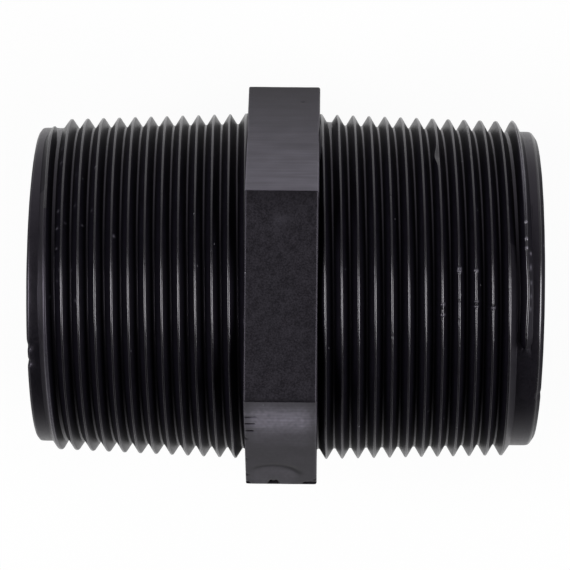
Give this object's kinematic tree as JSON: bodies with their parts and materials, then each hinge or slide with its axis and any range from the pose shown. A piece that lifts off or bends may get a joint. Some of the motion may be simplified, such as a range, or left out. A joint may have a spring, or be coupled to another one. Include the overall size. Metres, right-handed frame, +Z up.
{
  "type": "hex nipple",
  "caption": "Straight plastic pipe nipple with a hexagon in the middle for a wrench, a plain bore, and a tapered right-hand male pipe thread at each end.",
  "frame": {"origin": "on the bore's axis, half way along the hexagon", "axes": "+X along the bore towards the end with the longer plain nose, +Z up from the hexagon flat that the part lies on, +Y through a corner of the hexagon"},
  "size_m": [0.0687, 0.0558, 0.0482],
  "materials": {
    "black_polypropylene": "satin, as moulded, with scuffed edges"
  },
  "bodies": {
    "root": {"hex_collar": "black_polypropylene", "left_barrel": "black_polypropylene", "right_barrel": "black_polypropylene", "left_thread": "black_polypropylene", "right_thread": "black_polypropylene", "left_nose": "black_polypropylene", "right_nose": "black_polypropylene"}
  },
  "joints": []
}
